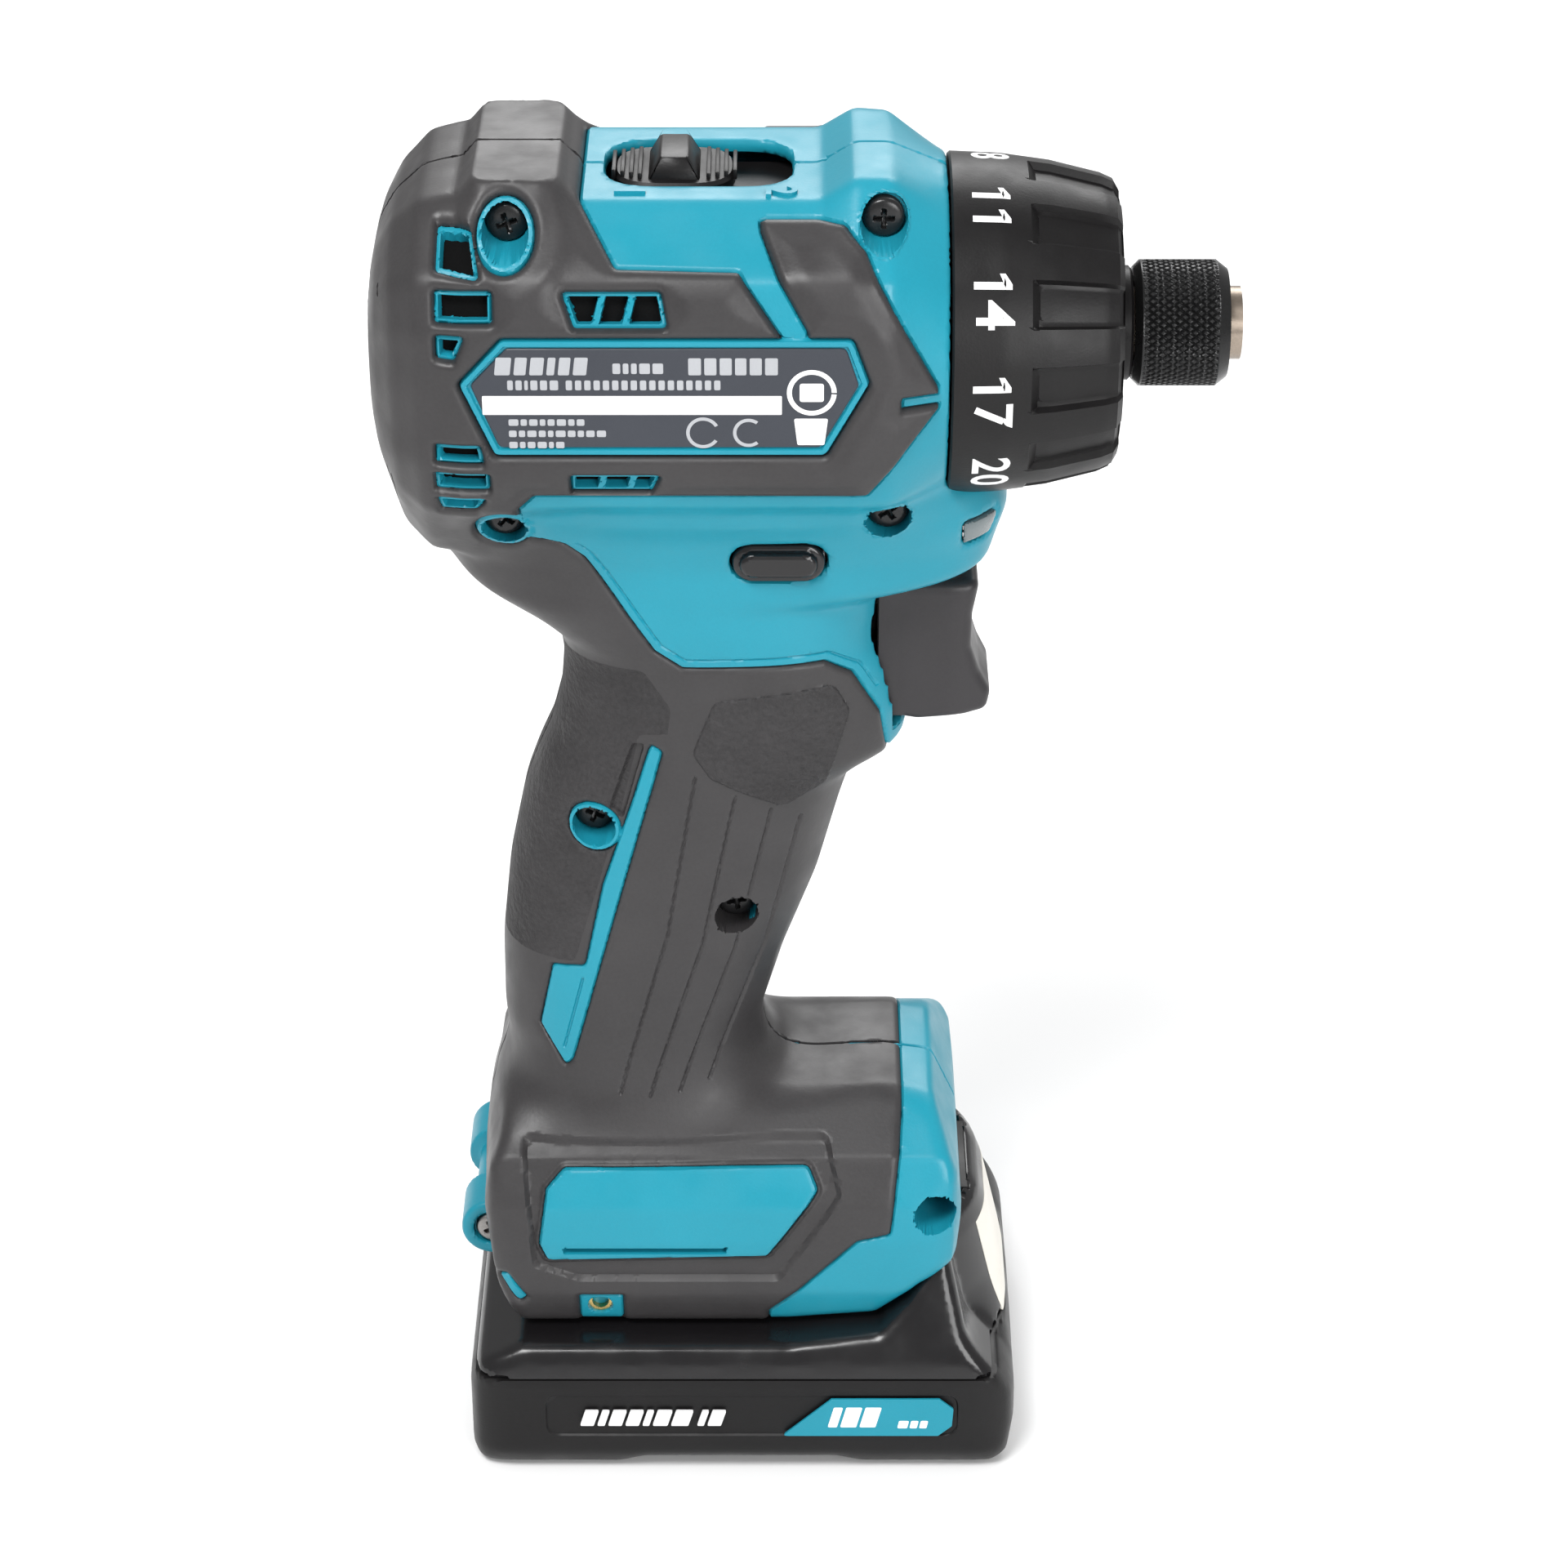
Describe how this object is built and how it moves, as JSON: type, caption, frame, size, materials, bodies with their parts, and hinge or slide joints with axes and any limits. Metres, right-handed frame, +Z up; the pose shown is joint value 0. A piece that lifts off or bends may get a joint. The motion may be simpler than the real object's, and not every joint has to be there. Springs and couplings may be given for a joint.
{
  "type": "cordless drill driver",
  "caption": "Compact pistol-grip cordless drill driver with torque ring, quick-release hex bit holder, two-speed gearing and slide-on battery.",
  "frame": {"origin": "centre of the bounding box at the surface the battery stands on", "axes": "+X out of the bit holder along the spindle, +Z up, +Y to the left of the tool"},
  "size_m": [0.126, 0.066, 0.217],
  "materials": {
    "casing_teal": "fine moulded texture",
    "grip_rubber": "matt moulded rubber",
    "label": "satin printed plate",
    "screw_black": "black oxide",
    "black_plastic": "satin",
    "black_matte": "fine texture",
    "brass": "machined",
    "steel": "machined",
    "gear_steel": "sintered, oiled",
    "spindle_steel": "hardened, brown tint",
    "sleeve_black": "black oxide, knurled",
    "zinc": "die cast",
    "magnet": "ferrite",
    "carbon": "carbon",
    "circuit_board": "solder mask",
    "lens": "clear",
    "cell_wrap": "shrink sleeve"
  },
  "bodies": {
    "housing": {"housing_right": "casing_teal", "housing_left": "casing_teal", "grip_cover_right": "grip_rubber", "grip_cover_left": "grip_rubber", "name_plates": "label", "housing_screws": "screw_black", "strap_lug": "casing_teal", "clip_inserts": "brass", "motor_can": "steel", "motor_magnets": "magnet", "motor_end_cap": "black_plastic", "motor_brushes": "carbon", "motor_bushes": "brass", "motor_screws": "steel", "gear_case": "zinc", "ring_gear_2": "gear_steel", "lock_ring": "gear_steel", "rear_bush": "brass", "front_bearing": "steel", "clutch_pins": "steel", "clutch_washer": "steel", "clutch_spring": "steel", "ring_clip": "gear_steel", "trigger_spring": "steel", "trigger_switch": "black_plastic", "led_board": "circuit_board", "led_lens": "lens", "controller_board": "circuit_board", "terminal_block": "black_matte"},
    "rotor": {"rotor": "steel", "commutator": "brass", "fan": "black_plastic"},
    "carrier_1": {"carrier_1": "steel"},
    "planet_1a": {"planet_1a": "steel"},
    "planet_1b": {"planet_1b": "steel"},
    "planet_1c": {"planet_1c": "steel"},
    "spindle": {"spindle": "spindle_steel", "carrier_2": "steel", "lock_rollers": "steel", "sleeve_clip": "gear_steel", "sleeve_spring": "steel"},
    "planet_2a": {"planet_2a": "steel"},
    "planet_2b": {"planet_2b": "steel"},
    "planet_2c": {"planet_2c": "steel"},
    "sleeve": {"chuck_sleeve": "sleeve_black"},
    "lock_ball": {"lock_ball": "steel"},
    "torque_ring": {"torque_ring": "black_matte"},
    "clutch_nut": {"clutch_nut": "black_matte"},
    "speed_selector": {"speed_selector": "black_plastic"},
    "shift_ring": {"ring_gear_1": "gear_steel", "shift_wire": "steel"},
    "trigger": {"trigger": "black_matte"},
    "direction_button": {"direction_button": "black_plastic"},
    "direction_lever": {"direction_lever": "black_plastic"},
    "battery": {"battery_lower_case": "black_matte", "battery_upper_case": "black_plastic", "battery_cells": "cell_wrap", "battery_board": "circuit_board", "battery_button_spring": "steel"},
    "battery_button": {"battery_button": "black_plastic"}
  },
  "joints": [
    {"name": "spindle_spin", "type": "hinge", "parent": "housing", "child": "spindle", "pos_m": [0, 0, 0.1885], "axis": [1, 0, 0], "continuous": true},
    {"name": "rotor_spin", "type": "hinge", "parent": "housing", "child": "rotor", "pos_m": [0, 0, 0.1885], "axis": [1, 0, 0], "continuous": true},
    {"name": "carrier_1_spin", "type": "hinge", "parent": "housing", "child": "carrier_1", "pos_m": [0, 0, 0.1885], "axis": [1, 0, 0], "continuous": true},
    {"name": "planet_1a_spin", "type": "hinge", "parent": "carrier_1", "child": "planet_1a", "pos_m": [0, 0, 0.17905], "axis": [1, 0, 0], "continuous": true},
    {"name": "planet_1b_spin", "type": "hinge", "parent": "carrier_1", "child": "planet_1b", "pos_m": [0, -0.00818, 0.19323], "axis": [1, 0, 0], "continuous": true},
    {"name": "planet_1c_spin", "type": "hinge", "parent": "carrier_1", "child": "planet_1c", "pos_m": [0, 0.00818, 0.19323], "axis": [1, 0, 0], "continuous": true},
    {"name": "planet_2a_spin", "type": "hinge", "parent": "spindle", "child": "planet_2a", "pos_m": [0, 0, 0.17905], "axis": [1, 0, 0], "continuous": true},
    {"name": "planet_2b_spin", "type": "hinge", "parent": "spindle", "child": "planet_2b", "pos_m": [0, -0.00818, 0.19323], "axis": [1, 0, 0], "continuous": true},
    {"name": "planet_2c_spin", "type": "hinge", "parent": "spindle", "child": "planet_2c", "pos_m": [0, 0.00818, 0.19323], "axis": [1, 0, 0], "continuous": true},
    {"name": "sleeve_pull", "type": "slide", "parent": "spindle", "child": "sleeve", "axis": [1, 0, 0], "range_m": [0, 0.0026], "stiffness_N_per_m": 1500, "springref_m": -0.002, "deforming": ["sleeve_spring"]},
    {"name": "lock_ball_lift", "type": "slide", "parent": "spindle", "child": "lock_ball", "axis": [0, 0, 1], "range_m": [0, 0.00065]},
    {"name": "torque_ring_turn", "type": "hinge", "parent": "housing", "child": "torque_ring", "pos_m": [0, 0, 0.1885], "axis": [1, 0, 0], "range_deg": [-138, 92], "deforming": ["clutch_spring"]},
    {"name": "clutch_nut_travel", "type": "slide", "parent": "torque_ring", "child": "clutch_nut", "axis": [1, 0, 0], "range_m": [-0.0037, 0.0025]},
    {"name": "speed_selector_slide", "type": "slide", "parent": "housing", "child": "speed_selector", "axis": [1, 0, 0], "range_m": [0, 0.007]},
    {"name": "ring_gear_shift", "type": "slide", "parent": "housing", "child": "shift_ring", "axis": [1, 0, 0], "range_m": [0, 0.0031]},
    {"name": "trigger_pull", "type": "slide", "parent": "housing", "child": "trigger", "axis": [-1, 0, 0], "range_m": [0, 0.006], "stiffness_N_per_m": 900, "springref_m": -0.003, "deforming": ["trigger_spring"]},
    {"name": "direction_button_slide", "type": "slide", "parent": "housing", "child": "direction_button", "axis": [0, 1, 0], "range_m": [-0.0025, 0.0025]},
    {"name": "direction_lever_turn", "type": "hinge", "parent": "housing", "child": "direction_lever", "pos_m": [-0.0144, 0, 0.1514], "axis": [0, 0, 1], "range_deg": [-17.2, 17.2]},
    {"name": "battery_removal", "type": "slide", "parent": "housing", "child": "battery", "axis": [1, 0, 0], "range_m": [0, 0.065]},
    {"name": "battery_button_press", "type": "slide", "parent": "battery", "child": "battery_button", "axis": [0, 0, -1], "range_m": [0, 0.003], "stiffness_N_per_m": 1200, "springref_m": -0.002, "deforming": ["battery_button_spring"]}
  ],
  "couplings": [
    {"joint": "rotor_spin", "follows": "spindle_spin", "ratio": 20.25},
    {"joint": "carrier_1_spin", "follows": "spindle_spin", "ratio": 4.5},
    {"joint": "planet_1a_spin", "follows": "spindle_spin", "ratio": -12.6},
    {"joint": "planet_1b_spin", "follows": "spindle_spin", "ratio": -12.6},
    {"joint": "planet_1c_spin", "follows": "spindle_spin", "ratio": -12.6},
    {"joint": "planet_2a_spin", "follows": "spindle_spin", "ratio": -2.8},
    {"joint": "planet_2b_spin", "follows": "spindle_spin", "ratio": -2.8},
    {"joint": "planet_2c_spin", "follows": "spindle_spin", "ratio": -2.8},
    {"joint": "lock_ball_lift", "follows": "sleeve_pull", "ratio": 0.25},
    {"joint": "clutch_nut_travel", "follows": "torque_ring_turn", "m_per_rad": 0.0015},
    {"joint": "ring_gear_shift", "follows": "speed_selector_slide", "ratio": 0.42857},
    {"joint": "direction_lever_turn", "follows": "direction_button_slide", "rad_per_m": 119.4}
  ]
}
